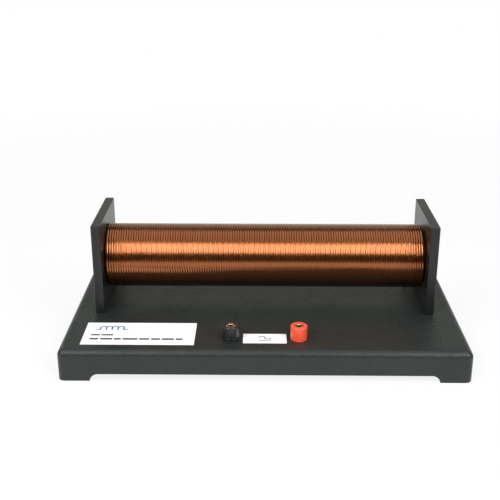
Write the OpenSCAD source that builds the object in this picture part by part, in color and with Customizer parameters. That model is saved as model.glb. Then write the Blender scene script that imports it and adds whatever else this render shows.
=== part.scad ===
// Magnetizing and demagnetizing coil on a moulded base, with two screw terminals.
// Millimetres. X runs along the coil, Y points away from the terminals, Z is up.
// The origin is the middle of the footprint, on the surface that the base stands on.

/* [Base] */
// Length of the base, along the coil
base_w = 300; // [290:1:340]
// Depth of the base, front to back
base_d = 155; // [150:1:190]
// Height of the top face above the table
base_h = 24; // [23:0.5:30]
// Wall thickness of the moulded tray
wall = 3; // [2:0.25:4]
// Rounding of the top edge and the upright corners
edge_r = 5; // [3.5:0.5:8]
// Length of a corner foot along each wall
foot_l = 23; // [16:1:40]
// Height of the gap between two feet
foot_gap = 5.5; // [4.5:0.25:7]
// Radius at the ends of that gap
gap_r = 6.4; // [4.8:0.2:9]
// Depth of the ribs under the top face
rib_h = 8; // [7:0.5:10]
// Thickness of the ribs
rib_t = 2; // [1.5:0.25:3]
// Diameter of the screw bosses under the top face
boss_d = 9; // [7.5:0.5:11]

/* [End plates] */
// Distance from an end plate to the nearest end of the base
end_margin = 18; // [12:1:30]
// Distance from the end plates to the back of the base
back_margin = 19; // [12:1:30]
// Thickness of an end plate
plate_t = 7; // [6:0.5:9]
// Depth of an end plate, front to back
plate_d = 72; // [64:1:84]
// Height of an end plate
plate_h = 72; // [66:0.5:84]
// Distance of the coil's axis below the middle of the end plates
axis_drop = 0.5; // [0:0.25:2]
// Bevel along every edge of an end plate
plate_bevel = 0.6; // [0.2:0.1:1.2]
// Depth of the round seat that holds the former
seat_depth = 4; // [2:0.5:5]
// Step from the former's bore out to the way through an end plate
hole_step = 0.7; // [0.3:0.1:1.2]

/* [Coil] */
// Bore of the coil former
bore_d = 35; // [32:0.5:36]
// Wall of the coil former
former_wall = 2.5; // [1.5:0.25:3]
// Diameter of the enamelled wire
wire_d = 1.8; // [1.4:0.1:2]
// Layers of wire
layers = 3; // [2:1:5]
// Loops drawn on the outer layer, each a ribbon of turns lying side by side
loops = 24; // [12:1:24]
// Gap between two ribbons
loop_gap = 0.5; // [0.45:0.05:0.8]
// Gap on either side of the start lead, which runs between the winding and the left end plate
end_gap = 0.1; // [0.1:0.05:0.5]

/* [Leads] */
// Distance of the lead holes from the end plates
lead_hole_inset = 6; // [5:0.5:12]
// Distance of the lead holes behind the winding
lead_hole_back = 0.6; // [0:0.2:4]
// Distance that the leads run inwards below the base before they turn to the front
lead_step = 19; // [12:1:40]
// Depth of the leads below the top wall
lead_drop = 6; // [5:0.25:6.5]
// Bend radius of the leads
bend_r = 4; // [3:0.5:4.5]
// Outside diameter of a lead grommet's flange
grommet_d = 6.4; // [5.4:0.2:8]
// Thickness of a lead grommet's flange
grommet_flange = 1; // [0.6:0.1:1.2]
// Wall of a lead grommet's neck
grommet_neck = 0.9; // [0.6:0.1:1.4]

/* [Screw terminals] */
// Distance between the two terminals
post_pitch = 50; // [48:0.5:70]
// Distance of the terminals from the front of the base
post_inset = 22; // [18:0.5:30]
// Diameter of the screw cap and of the collar under it
cap_d = 12.4; // [12:0.1:14]
// Height of the screw cap
cap_h = 8.9; // [8:0.1:12]
// Rounding of the screw cap's top edge
cap_round = 0.9; // [0.3:0.1:1.2]
// Height of the insulating collar
collar_h = 2; // [1.8:0.1:3]
// Wall of the collar's neck in the base
collar_wall = 1.1; // [0.8:0.1:1.4]
// Outside diameter of the stud's upper thread
stud_d = 7; // [6.6:0.1:7.4]
// Outside diameter of the stud's lower thread
shank_d = 6; // [5.6:0.1:6.4]
// Step from the stud's upper thread out to its clamping flange
flange_step = 1.1; // [0.8:0.1:1.3]
// Thickness of the stud's clamping flange
flange_t = 1; // [0.6:0.1:1.2]
// Depth of the stud's end below the cap's top
stud_recess = 0.4; // [0.2:0.1:1]
// Bore of the socket for a plug
socket_d = 4.04; // [4.02:0.01:4.1]
// Length of the socket's gripping bore
socket_l = 9; // [7:0.5:9.5]
// Step from the socket's bore out to the relief below it
relief_step = 0.23; // [0.2:0.01:0.3]
// Length of the relief below the socket's bore
relief_l = 6; // [3:0.5:7]
// Wall of the cap's threaded insert
insert_wall = 1.15; // [0.9:0.05:1.3]
// Thickness of the cap above its threaded insert
cap_top = 2.9; // [1.6:0.1:4]
// Radial gap between the stud and the hole in the cap's top
cap_hole_gap = 0.3; // [0.2:0.05:0.6]
// Outside diameter of the insulating washer
washer_d = 12; // [10:0.5:14]
// Thickness of the insulating washer
washer_t = 1.5; // [1:0.1:2]
// Thickness of the solder tag
tag_t = 0.8; // [0.5:0.1:1]
// Width of the solder tag's tail
tag_w = 4.6; // [4:0.2:6]
// Distance from the stud to the tag's eye
tag_l = 13; // [11:0.5:16]
// Width of the hexagon nuts across their flats
nut_flats = 10; // [9:0.5:11]
// Thickness of a hexagon nut
nut_t = 3; // [2:0.2:3.2]
// Length of stud that shows below the nuts
stud_tail = 0.8; // [0.4:0.1:1.2]

/* [Labels] */
// Length of the name label
name_label_w = 83; // [60:0.2:90]
// Distance from the name label to the end plates
name_label_back = 17.4; // [12:0.2:30]
// Distance of the name label from the left end of the base
name_label_left = 15.4; // [12:0.2:20]
// Distance of the name label from the front of the base
name_label_front = 10.6; // [9:0.2:12]
// Gap between the rating label and the terminals
rating_label_gap = 2.8; // [1.5:0.1:8]
// Depth of the rating label
rating_label_d = 15; // [8:0.5:24]
// Distance of the rating label from the front of the base
rating_label_front = 14; // [9:0.2:16]
// Thickness of both labels
label_t = 0.2; // [0.1:0.05:0.5]

/* [Screws] */
// Diameter of the screws that hold the end plates
screw_d = 3.5; // [3:0.1:4]
// Length of a screw in its end plate
screw_grip = 14; // [10:0.5:18]
// Distance between an end plate's two screws
screw_pitch = 36; // [30:1:40]
// Diameter of a screw's head
screw_head_d = 6.6; // [6:0.2:7.4]
// Height of a screw's head
screw_head_h = 2.4; // [2:0.1:2.8]
// Length of a screw's cross recess
recess_l = 4; // [3:0.2:5]
// Width of a screw's cross recess
recess_w = 1; // [0.6:0.1:1.4]
// Depth of a screw's cross recess
recess_depth = 1.2; // [0.8:0.1:1.6]
// Diameter of the washer under a screw's head
screw_washer_d = 8.6; // [8:0.2:10]
// Thickness of the washer under a screw's head
screw_washer_t = 0.8; // [0.5:0.1:1]

/* [Hidden] */
$fn = 64;

// Colours
tray_grey = [0.13, 0.135, 0.135];
plate_grey = [0.16, 0.165, 0.16];
former_brown = [0.32, 0.2, 0.11];
copper = [0.62, 0.3, 0.14];
dark_copper = [0.45, 0.22, 0.1];
rubber_black = [0.05, 0.05, 0.05];
paper_white = [0.95, 0.95, 0.95];
cap_black = [0.08, 0.08, 0.085];
cap_red = [0.85, 0.14, 0.08];
nickel = [0.75, 0.73, 0.68];
brass = [0.78, 0.62, 0.3];
zinc = [0.66, 0.67, 0.68];

// Clearances, measured on the radius or on one face
slip_gap = 0.1;
run_gap = 0.05;
lead_gap = 0.2;

// Sides of the facets on blended shapes
blend_fn = 32;

// Places that several pieces share
front_y = -base_d / 2;
under_z = base_h - wall;
coil_space = base_w - 2 * (end_margin + plate_t);
axis_y = base_d / 2 - back_margin - plate_d / 2;
axis_z = base_h + plate_h / 2 - axis_drop;
boss_z = under_z - rib_h;
plate_mid_x = coil_space / 2 + plate_t / 2;
screw_ys = [axis_y - screw_pitch / 2, axis_y + screw_pitch / 2];

// Coil
former_d = bore_d + 2 * former_wall;
former_l = coil_space + 2 * (seat_depth - slip_gap);
plate_hole_d = bore_d + 2 * hole_step;
winding_d = former_d + 2 * layers * wire_d;
end_room = wire_d + 2 * end_gap;
winding_l = coil_space - 2 * end_room;
rings_per_loop = 24;
ribbon_in = winding_d / 2 - wire_d;
ribbon_out = winding_d / 2;
wire_path_r = (ribbon_in + ribbon_out) / 2;
core_r = ribbon_in * cos(180 / rings_per_loop) - run_gap;
loop_pitch = winding_l / (loops - 1);

// Leads and their grommets
lead_hole_x = coil_space / 2 - lead_hole_inset;
lead_hole_y = axis_y + winding_d / 2 + lead_hole_back;
lane_x = lead_hole_x - lead_step;
lead_z = under_z - lead_drop;
grommet_bore_d = wire_d + 2 * slip_gap;
grommet_neck_d = grommet_bore_d + 2 * grommet_neck;

// Terminal stack, from the cap down
post_y = front_y + post_inset;
cap_z = base_h + collar_h;
stud_top = cap_z + cap_h - stud_recess;
cap_hole_d = stud_d + 2 * cap_hole_gap;
insert_d = stud_d + 2 * (run_gap + insert_wall);
insert_h = cap_h - cap_top;
flange_d = stud_d + 2 * flange_step;
relief_d = socket_d + 2 * relief_step;
collar_neck_d = shank_d + 2 * (slip_gap + collar_wall);
tag_z = under_z - washer_t - tag_t;
nut_z = tag_z - nut_t;
locknut_z = nut_z - nut_t;
stud_bottom = locknut_z - stud_tail;
eye_y = post_y + tag_l;
eye_d = wire_d + 2 * lead_gap;

// Labels
name_label_d = axis_y - plate_d / 2 - front_y - name_label_front - name_label_back;
rating_label_w = post_pitch - cap_d - 2 * rating_label_gap;

// Vector helpers
function unit(v) = v / norm(v);
function last(list) = list[len(list) - 1];

// Route with each inner corner replaced by an arc of the given radius
function rounded_corner(a, b, c, r, steps = 5) =
    let (
        u = unit(a - b),
        w = unit(c - b),
        half = acos(u * w) / 2,
        reach = min(r / tan(half), 0.49 * norm(a - b), 0.49 * norm(c - b)),
        true_r = reach * tan(half),
        centre = b + unit(u + w) * true_r / sin(half),
        from = b + u * reach - centre,
        side = unit(cross(cross(from, b + w * reach - centre), from)) * true_r,
        sweep = 180 - 2 * half
    )
    [for (i = [0 : steps]) centre + from * cos(sweep * i / steps) + side * sin(sweep * i / steps)];

function rounded_route(corners, r) = concat(
    [corners[0]],
    [for (i = [1 : len(corners) - 2]) each rounded_corner(corners[i - 1], corners[i], corners[i + 1], r)],
    [last(corners)]
);

// Tube of the given radius swept along a route
function route_tangents(p) = [
    for (i = [0 : len(p) - 1])
        i == 0 ? unit(p[1] - p[0])
        : i == len(p) - 1 ? unit(p[i] - p[i - 1])
        : unit(unit(p[i] - p[i - 1]) + unit(p[i + 1] - p[i]))
];

function carried_normals(tangents, first) = [
    for (i = 0, n = first; i < len(tangents);
        i = i + 1, n = i < len(tangents) ? unit(n - (n * tangents[i]) * tangents[i]) : n)
        n
];

// Triangles that join rings of equal size into one closed tube
function tube_faces(rings, sides) = concat(
    [for (j = [1 : sides - 2]) [0, j, j + 1]],
    [for (i = [0 : rings - 2], j = [0 : sides - 1])
        let (a = i * sides + j, b = i * sides + (j + 1) % sides)
        each [[a, a + sides, b + sides], [a, b + sides, b]]],
    [for (j = [1 : sides - 2]) let (e = (rings - 1) * sides) [e, e + j + 1, e + j]]
);

module swept_tube(route, r, first_normal, sides = 8) {
    tangents = route_tangents(route);
    normals = carried_normals(tangents, first_normal);
    points = [
        for (i = [0 : len(route) - 1], j = [0 : sides - 1])
            let (turn = 360 * j / sides)
            route[i] + r * (normals[i] * cos(turn) + cross(tangents[i], normals[i]) * sin(turn))
    ];
    polyhedron(points, tube_faces(len(route), sides));
}

// Block on z = 0 with rounded upright corners and a rounded top edge
module rounded_block(w, d, h, r) {
    arc_steps = blend_fn / 4;
    profile = concat(
        [[0, 0], [r, 0]],
        [for (i = [0 : arc_steps]) [r * cos(90 * i / arc_steps), h - r + r * sin(90 * i / arc_steps)]]
    );
    hull()
        for (x = [-1, 1], y = [-1, 1])
            translate([x * (w / 2 - r), y * (d / 2 - r), 0])
                rotate_extrude($fn = blend_fn) polygon(profile);
}

// Upright block on z = 0, bevelled along every edge
module bevelled_block(w, d, h, bevel) {
    hull() {
        translate([0, 0, h / 2]) cube([w, d - 2 * bevel, h - 2 * bevel], center = true);
        translate([0, 0, h / 2]) cube([w - 2 * bevel, d, h - 2 * bevel], center = true);
        translate([0, 0, h / 2]) cube([w - 2 * bevel, d - 2 * bevel, h], center = true);
    }
}

// Opening between two feet, as long as the given wall
module foot_opening(wall_l, across) {
    half = wall_l / 2 - foot_l;
    rotate([90, 0, 0])
        linear_extrude(across, center = true) {
            for (side = [-1, 1])
                translate([side * (half - gap_r), foot_gap - gap_r]) circle(gap_r);
            translate([-(half - gap_r), -gap_r]) square([2 * (half - gap_r), foot_gap + gap_r]);
            translate([-half, -2 * gap_r]) square([2 * half, foot_gap + gap_r]);
        }
}

// Ring on z = 0
module ring(outer_d, inner_d, h) {
    difference() {
        cylinder(d = outer_d, h = h);
        translate([0, 0, -1]) cylinder(d = inner_d, h = h + 2);
    }
}

// Children repeated at the two screws of one end plate, or of both
module at_screws(sides) {
    for (side = sides, y = screw_ys)
        translate([side * plate_mid_x, y, 0]) children();
}

module at_post(side) {
    translate([side * post_pitch / 2, post_y, 0]) children();
}

// Moulded tray with its ribs, screw bosses and holes
module base_tray() {
    color(tray_grey)
        difference() {
            union() {
                difference() {
                    rounded_block(base_w, base_d, base_h, edge_r);
                    translate([0, 0, -1])
                        rounded_block(base_w - 2 * wall, base_d - 2 * wall, under_z + 1,
                            max(edge_r - wall, 0.5));
                }
                tray_ribs();
            }
            foot_opening(base_w, base_d + 2);
            rotate(90) foot_opening(base_d, base_w + 2);
            tray_holes();
        }
}

module tray_ribs() {
    rib_top = rib_h + wall / 2;
    for (side = [-1, 1])
        translate([side * plate_mid_x - rib_t / 2, -base_d / 2 + wall / 2, boss_z])
            cube([rib_t, base_d - wall, rib_top]);
    translate([-plate_mid_x, -rib_t / 2, boss_z]) cube([2 * plate_mid_x, rib_t, rib_top]);
    at_screws([-1, 1]) translate([0, 0, boss_z]) cylinder(d = boss_d, h = rib_top);
}

module tray_holes() {
    at_screws([-1, 1]) cylinder(d = screw_d + 2 * slip_gap, h = base_h + 1);
    for (side = [-1, 1]) {
        at_post(side) cylinder(d = collar_neck_d + 2 * slip_gap, h = base_h + 1);
        translate([side * lead_hole_x, lead_hole_y, 0])
            cylinder(d = grommet_neck_d + 2 * slip_gap, h = base_h + 1);
        translate([side * lane_x, 0, lead_z])
            rotate([90, 0, 0]) cylinder(d = eye_d, h = 3 * rib_t, center = true);
    }
}

// End plate with the former's seat, the way through and its screw holes
module end_plate(side) {
    color(plate_grey)
        difference() {
            translate([side * plate_mid_x, axis_y, base_h])
                bevelled_block(plate_t, plate_d, plate_h, plate_bevel);
            translate([side * plate_mid_x, axis_y, axis_z])
                rotate([0, 90, 0]) cylinder(d = plate_hole_d, h = plate_t + 2, center = true);
            translate([side * (coil_space / 2 + seat_depth / 2 - 1), axis_y, axis_z])
                rotate([0, 90, 0])
                    cylinder(d = former_d + 2 * slip_gap, h = seat_depth + 2, center = true);
            at_screws([side])
                translate([0, 0, base_h - 1]) cylinder(d = screw_d + 2 * run_gap, h = screw_grip + 2);
        }
}

// Self-tapping screws with a cross recess, driven from below
module plate_screws() {
    head_z = boss_z - screw_washer_t - screw_head_h;
    color(zinc)
        at_screws([-1, 1])
            difference() {
                union() {
                    translate([0, 0, head_z]) cylinder(d = screw_head_d, h = screw_head_h);
                    translate([0, 0, head_z + screw_head_h / 2])
                        cylinder(d = screw_d, h = base_h + screw_grip - head_z - screw_head_h / 2);
                }
                for (turn = [0, 90])
                    translate([0, 0, head_z])
                        rotate(turn) cube([recess_l, recess_w, 2 * recess_depth], center = true);
            }
}

module plate_washers() {
    color(zinc)
        at_screws([-1, 1])
            translate([0, 0, boss_z - screw_washer_t])
                ring(screw_washer_d, screw_d + 2 * slip_gap, screw_washer_t);
}

// Tube on the coil's axis
module axis_tube(outer_d, inner_d, length) {
    translate([-length / 2, axis_y, axis_z]) rotate([0, 90, 0]) ring(outer_d, inner_d, length);
}

module coil_former() {
    color(former_brown) axis_tube(former_d, bore_d, former_l);
}

// Inner layers of the winding, as one plain sleeve
module inner_winding() {
    color(dark_copper) axis_tube(2 * core_r, former_d + 2 * run_gap, winding_l);
}

// Outer layer: one ribbon that runs from end to end and narrows to a single wire at both ends
first_turn = (wire_d + loop_gap) / loop_pitch;
last_turn = loops - first_turn;
ring_count = ceil((last_turn - first_turn) * rings_per_loop) + 1;
ribbon_sides = 6;
function ribbon_turn(i) = first_turn + (last_turn - first_turn) * i / (ring_count - 1);
function ribbon_angle(t) = 270 + 360 * (t - last_turn);
function ribbon_low(t) = -winding_l / 2 + max(0, (t - 1) * loop_pitch) + loop_gap / 2;
function ribbon_high(t) = -winding_l / 2 + min(winding_l, t * loop_pitch) - loop_gap / 2;

// One ring of the ribbon at turn t, carried straight on by the given distance
function ribbon_ring(t, run) =
    let (
        a = ribbon_angle(t),
        out = [0, cos(a), sin(a)],
        along = [0, -sin(a), cos(a)],
        side = wire_d / 4,
        low = ribbon_low(t),
        high = ribbon_high(t),
        outline = [
            [low, wire_path_r], [low + side, ribbon_in], [high - side, ribbon_in],
            [high, wire_path_r], [high - side, ribbon_out], [low + side, ribbon_out]
        ]
    )
    [for (p = outline) [p[0], axis_y, axis_z] + p[1] * out + run * along];

ribbon_rings = concat(
    [ribbon_ring(first_turn, -wire_d)],
    [for (i = [0 : ring_count - 1]) ribbon_ring(ribbon_turn(i), 0)],
    [ribbon_ring(last_turn, wire_d)]
);

// Least distance between the points of neighbouring loops
ribbon_gap = min([
    for (i = [1 : len(ribbon_rings) - rings_per_loop - 2], k = [-1 : 1], p = ribbon_rings[i],
        q = ribbon_rings[i + rings_per_loop + k])
        norm(p - q)
]);
echo(str("least gap between the loops of the outer winding: ", ribbon_gap, " mm"));

module outer_winding() {
    color(copper)
        polyhedron([for (r = ribbon_rings) each r], tube_faces(len(ribbon_rings), ribbon_sides));
}

// Run of a lead below the base, from its hole to the eye of its solder tag
function under_route(side) = [
    [side * lead_hole_x, lead_hole_y, lead_z],
    [side * lane_x, lead_hole_y, lead_z],
    [side * lane_x, post_y + 2 * tag_l, lead_z],
    [side * post_pitch / 2, eye_y, lead_z],
    [side * post_pitch / 2, eye_y, under_z - 2 * slip_gap]
];

// Start of the winding: round the former beside the left end plate, then down behind the coil
start_r = former_d / 2 + wire_d / 2 + slip_gap;
start_x = -(coil_space - end_room) / 2;
start_arc = [for (a = [100 : -10 : 0]) [start_x, axis_y + start_r * cos(a), axis_z + start_r * sin(a)]];
left_corners = concat(
    [last(start_arc)],
    [[start_x, axis_y + start_r, axis_z - ribbon_in / 2],
    [-lead_hole_x, lead_hole_y, base_h + 2 * bend_r]],
    under_route(-1)
);

module left_lead() {
    down = rounded_route(left_corners, bend_r);
    route = concat(start_arc, [for (i = [1 : len(down) - 1]) down[i]]);
    color(copper) swept_tube(route, wire_d / 2, [1, 0, 0]);
}

// End of the winding: straight on from the ribbon under the coil, then down behind it
end_x = (ribbon_low(last_turn) + ribbon_high(last_turn)) / 2;
end_z = axis_z - wire_path_r;
right_corners = concat(
    [[end_x, axis_y + wire_d, end_z], [end_x, axis_y + wire_d + bend_r, end_z],
    [lead_hole_x, lead_hole_y, end_z]],
    under_route(1)
);

module right_lead() {
    color(copper) swept_tube(rounded_route(right_corners, bend_r), wire_d / 2, [1, 0, 0]);
}

// Grommets that line the two lead holes
module lead_grommets() {
    bore_r = grommet_bore_d / 2;
    neck_r = grommet_neck_d / 2;
    flange_r = grommet_d / 2;
    top_z = base_h + grommet_flange;
    low_z = under_z - grommet_flange;
    color(rubber_black)
        for (side = [-1, 1])
            translate([side * lead_hole_x, lead_hole_y, 0])
                rotate_extrude()
                    polygon([
                        [bore_r, low_z], [flange_r, low_z], [flange_r, under_z], [neck_r, under_z],
                        [neck_r, base_h], [flange_r, base_h], [flange_r, top_z], [bore_r, top_z]
                    ]);
}

module name_label() {
    color(paper_white)
        translate([-base_w / 2 + name_label_left, front_y + name_label_front, base_h])
            cube([name_label_w, name_label_d, label_t]);
}

module rating_label() {
    color(paper_white)
        translate([-rating_label_w / 2, front_y + rating_label_front, base_h])
            cube([rating_label_w, rating_label_d, label_t]);
}

// Screw cap: a moulded shell round its threaded insert
module screw_cap(side, tint) {
    arc_steps = 6;
    profile = concat(
        [[0, 0], [cap_d / 2, 0]],
        [for (i = [0 : arc_steps])
            [cap_d / 2 - cap_round * (1 - cos(90 * i / arc_steps)),
            cap_h - cap_round * (1 - sin(90 * i / arc_steps))]],
        [[0, cap_h]]
    );
    color(tint)
        at_post(side)
            translate([0, 0, cap_z])
                difference() {
                    rotate_extrude() polygon(profile);
                    translate([0, 0, -1]) cylinder(d = cap_hole_d, h = cap_h + 2);
                    translate([0, 0, -1]) cylinder(d = insert_d + 2 * run_gap, h = insert_h + run_gap + 1);
                }
}

module cap_insert(side) {
    color(brass)
        at_post(side) translate([0, 0, cap_z]) ring(insert_d, stud_d + 2 * run_gap, insert_h);
}

// Stud with its plug socket, clamping flange and lower thread
module stud(side) {
    mouth = 0.3;
    color(nickel)
        at_post(side)
            difference() {
                union() {
                    translate([0, 0, cap_z - flange_t]) cylinder(d = stud_d, h = stud_top - cap_z + flange_t);
                    translate([0, 0, cap_z - flange_t]) cylinder(d = flange_d, h = flange_t);
                    translate([0, 0, stud_bottom]) cylinder(d = shank_d, h = cap_z - stud_bottom);
                }
                translate([0, 0, stud_top - socket_l]) cylinder(d = socket_d, h = socket_l + 1);
                translate([0, 0, stud_top - socket_l - relief_l]) cylinder(d = relief_d, h = relief_l);
                translate([0, 0, stud_top - mouth])
                    cylinder(d1 = socket_d, d2 = socket_d + 4 * mouth, h = 2 * mouth);
            }
}

module collar(side, tint) {
    color(tint)
        at_post(side)
            difference() {
                union() {
                    translate([0, 0, base_h]) cylinder(d = cap_d, h = collar_h);
                    translate([0, 0, under_z + slip_gap]) cylinder(d = collar_neck_d, h = wall);
                }
                translate([0, 0, cap_z - flange_t]) cylinder(d = flange_d + 2 * slip_gap, h = flange_t + 1);
                translate([0, 0, under_z - 1]) cylinder(d = shank_d + 2 * slip_gap, h = wall + collar_h + 2);
            }
}

module insulating_washer(side) {
    color(rubber_black)
        at_post(side)
            translate([0, 0, under_z - washer_t]) ring(washer_d, shank_d + 2 * slip_gap, washer_t);
}

// Solder tag whose tail points to the back
module solder_tag(side) {
    color(brass)
        at_post(side)
            translate([0, 0, tag_z])
                linear_extrude(tag_t)
                    difference() {
                        union() {
                            circle(d = nut_flats);
                            translate([-tag_w / 2, 0]) square([tag_w, tag_l]);
                            translate([0, tag_l]) circle(d = tag_w);
                        }
                        circle(d = shank_d + 2 * slip_gap);
                        translate([0, tag_l]) circle(d = eye_d);
                    }
}

module hexagon_nut(side, z) {
    color(brass)
        at_post(side)
            translate([0, 0, z])
                difference() {
                    cylinder(d = nut_flats / cos(30), h = nut_t, $fn = 6);
                    translate([0, 0, -1]) cylinder(d = shank_d + 2 * run_gap, h = nut_t + 2);
                }
}

base_tray();
end_plate(-1);  // left_end_plate
end_plate(1);  // right_end_plate
plate_screws();
plate_washers();
coil_former();
inner_winding();
outer_winding();
left_lead();
right_lead();
lead_grommets();
name_label();
rating_label();
screw_cap(-1, cap_black);  // black_cap
cap_insert(-1);  // black_cap_insert
stud(-1);  // black_stud
collar(-1, cap_black);  // black_collar
insulating_washer(-1);  // black_washer
solder_tag(-1);  // black_solder_tag
hexagon_nut(-1, nut_z);  // black_nut
hexagon_nut(-1, locknut_z);  // black_locknut
screw_cap(1, cap_red);  // red_cap
cap_insert(1);  // red_cap_insert
stud(1);  // red_stud
collar(1, cap_red);  // red_collar
insulating_washer(1);  // red_washer
solder_tag(1);  // red_solder_tag
hexagon_nut(1, nut_z);  // red_nut
hexagon_nut(1, locknut_z);  // red_locknut
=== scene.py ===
"""Looks of a classroom magnetizing coil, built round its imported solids.

Metres, in the frame of the solids: X runs along the coil, Y away from the terminals, Z is up.
"""

import math

import bmesh
import bpy
from mathutils import Matrix, Vector


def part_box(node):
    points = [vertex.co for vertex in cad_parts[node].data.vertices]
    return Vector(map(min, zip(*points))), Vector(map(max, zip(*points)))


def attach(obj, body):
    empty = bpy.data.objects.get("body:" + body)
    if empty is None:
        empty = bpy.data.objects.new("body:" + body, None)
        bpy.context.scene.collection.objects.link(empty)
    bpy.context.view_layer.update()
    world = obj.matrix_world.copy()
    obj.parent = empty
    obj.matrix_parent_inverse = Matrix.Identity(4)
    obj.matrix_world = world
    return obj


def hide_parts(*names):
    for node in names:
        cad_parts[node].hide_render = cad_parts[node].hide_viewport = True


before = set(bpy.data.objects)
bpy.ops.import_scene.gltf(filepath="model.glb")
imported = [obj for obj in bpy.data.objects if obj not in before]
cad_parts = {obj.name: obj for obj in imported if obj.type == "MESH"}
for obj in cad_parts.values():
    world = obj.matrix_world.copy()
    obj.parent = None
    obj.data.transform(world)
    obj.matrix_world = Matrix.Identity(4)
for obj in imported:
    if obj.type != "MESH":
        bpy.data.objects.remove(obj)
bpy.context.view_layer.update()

MM = 0.001

# Tray
WALL = 3 * MM
TRAY_ROUND = 5 * MM
TRAY_EDGE = 0.35 * MM
FOOT_LENGTH = 23 * MM
FOOT_GAP = 5.5 * MM
FOOT_GAP_ROUND = 6.4 * MM
RIB_DEPTH = 8 * MM
RIB_THICKNESS = 2 * MM
RIB_EDGE = 0.25 * MM
BOSS_RADIUS = 4.5 * MM
SEAM = 0.3 * MM
POST_HOLE_RADIUS = 4.3 * MM
LEAD_HOLE_RADIUS = 2 * MM
LEAD_WAY_RADIUS = 1.1 * MM
SCREW_HOLE_RADIUS = 1.85 * MM

# End plates and their screws
PLATE_BEVEL = 0.6 * MM
PLATE_HOLE_EDGE = 0.3 * MM
SEAT_DEPTH = 4 * MM
SEAT_PLAY = 0.1 * MM
PLATE_HOLE_STEP = 0.7 * MM
SCREW_PITCH = 36 * MM
SCREW_RADIUS = 1.75 * MM
SCREW_TIP = 3 * MM
SCREW_HEAD_RADIUS = 3.3 * MM
SCREW_HEAD_CROWN = 0.7 * MM
SCREW_HEAD_RIM = 0.4 * MM
RECESS_REACH = 2 * MM
RECESS_HALF_WIDTH = 0.5 * MM
RECESS_DEPTH = 1.2 * MM
WASHER_PLAY = 0.1 * MM
WASHER_EDGE = 0.12 * MM

# Coil
WIRE_RADIUS = 0.93 * MM
WIRE_HALF_WIDTH = 0.96 * MM
WIRE_CROWN = 0.28 * MM
CROWN_STEPS = 8
FORMER_WALL = 2.5 * MM
FORMER_EDGE = 0.35 * MM
OUTER_TURNS = 128
FIRST_ANGLE = math.radians(110)
RISE_TURNS = 0.15
END_TURNS = 3
END_TURN_GAP = 0.02 * MM
LAYER_GAP = 0.15 * MM
WIRE_SIDES = 12
STEPS_PER_TURN = 48
PLATE_GAP = 0.15 * MM
END_GAP = 0.6 * MM

# Labels
LABEL_CORNER = 0.25 * MM
PRINT_HEIGHT = 0.02 * MM
PRINT_GRID = 0.001 * MM
PRINT_MARGIN = 5.5 * MM
COIL_SIGN_LOOPS = 4

# Leads
LEAD_RADIUS = 0.9 * MM
LEAD_STEP = 19 * MM
LEAD_BEND = 4 * MM
LEAD_ARC = [math.radians(100 - 5 * step) for step in range(20)]
LEAD_ARC_GAP = 0.1 * MM
TAG_LENGTH = 13 * MM
TAG_GAP = 0.2 * MM
GROMMET_BORE_RADIUS = 1.0 * MM
GROMMET_NECK_RADIUS = 1.9 * MM
GROMMET_EDGE = 0.25 * MM

# Terminals
THREAD_PITCH = 0.75 * MM
THREAD_DEPTH = 0.45 * MM
CORE_DEPTH = 0.4 * MM
SOCKET_RADIUS = 2.02 * MM
SOCKET_LENGTH = 9 * MM
RELIEF_RADIUS = 2.25 * MM
RELIEF_LENGTH = 6 * MM
STUD_RADIUS = 3.5 * MM
STUD_RIM = 0.7 * MM
STUD_RIM_ROUND = 0.25 * MM
STUD_CHAMFER = 0.3 * MM
STUD_EDGE = 0.08 * MM
DRILL_TIP = 1 * MM
FLANGE_THICKNESS = 1 * MM
SHANK_RADIUS = 3 * MM
SHANK_PLAY = 0.1 * MM
COLLAR_NECK = 1.1 * MM
CAP_ROUND = 0.9 * MM
CAP_HOLE_PLAY = 0.3 * MM
INSERT_REACH = 1.2 * MM
INSERT_PLAY = 0.05 * MM
INSERT_EDGE = 0.15 * MM
MOULDED_EDGE = 0.2 * MM
NUT_CORNER = 0.6 * MM
NUT_PLAY = 0.05 * MM
NUT_EDGE = 0.12 * MM

# Steps round a circle or an arc
LARGE_ROUND = 96
POST_ROUND = 72
SMALL_ROUND = 48
CORNER_STEPS = 10
ARC_STEPS = 20

# Least length of an edge
SLIVER = 0.002 * MM

# Places of the solids
tray_low, tray_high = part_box("base_tray")
former_low, former_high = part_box("coil_former")
winding_low, winding_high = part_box("outer_winding")
tray_top = tray_high.z
tray_under = tray_top - WALL
boss_bottom = tray_under - RIB_DEPTH
coil_axis = (former_low + former_high) / 2
former_radius = (former_high.z - former_low.z) / 2
wire_path_radius = (winding_high.z - winding_low.z) / 2 - LEAD_RADIUS
plate_places = {side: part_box(f"{side}_end_plate") for side in ("left", "right")}
plate_middle_x = (plate_places["right"][0].x + plate_places["right"][1].x) / 2
screw_places = [
    Vector((x * plate_middle_x, coil_axis.y + y * SCREW_PITCH / 2, 0)) for x in (-1, 1) for y in (-1, 1)
]


# Shapes

def block(low, high):
    """Box between two corners."""
    bm = bmesh.new()
    bmesh.ops.create_cube(bm, size=1)
    bmesh.ops.scale(bm, vec=Vector(high) - Vector(low), verts=bm.verts)
    bmesh.ops.translate(bm, vec=(Vector(low) + Vector(high)) / 2, verts=bm.verts)
    return bm


def round_edges(bm, edges, radius, segments):
    """Rounds the given edges."""
    bmesh.ops.bevel(
        bm, geom=list(edges), offset=radius, offset_type="OFFSET", segments=segments, profile=0.5,
        affect="EDGES", clamp_overlap=True, material=-1,
    )


def soften(bm, radius, segments=2, angle=50):
    """Rounds every edge sharper than the given angle."""
    sharp = [e for e in bm.edges if e.is_manifold and e.calc_face_angle() > math.radians(angle)]
    round_edges(bm, sharp, radius, segments)


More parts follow.
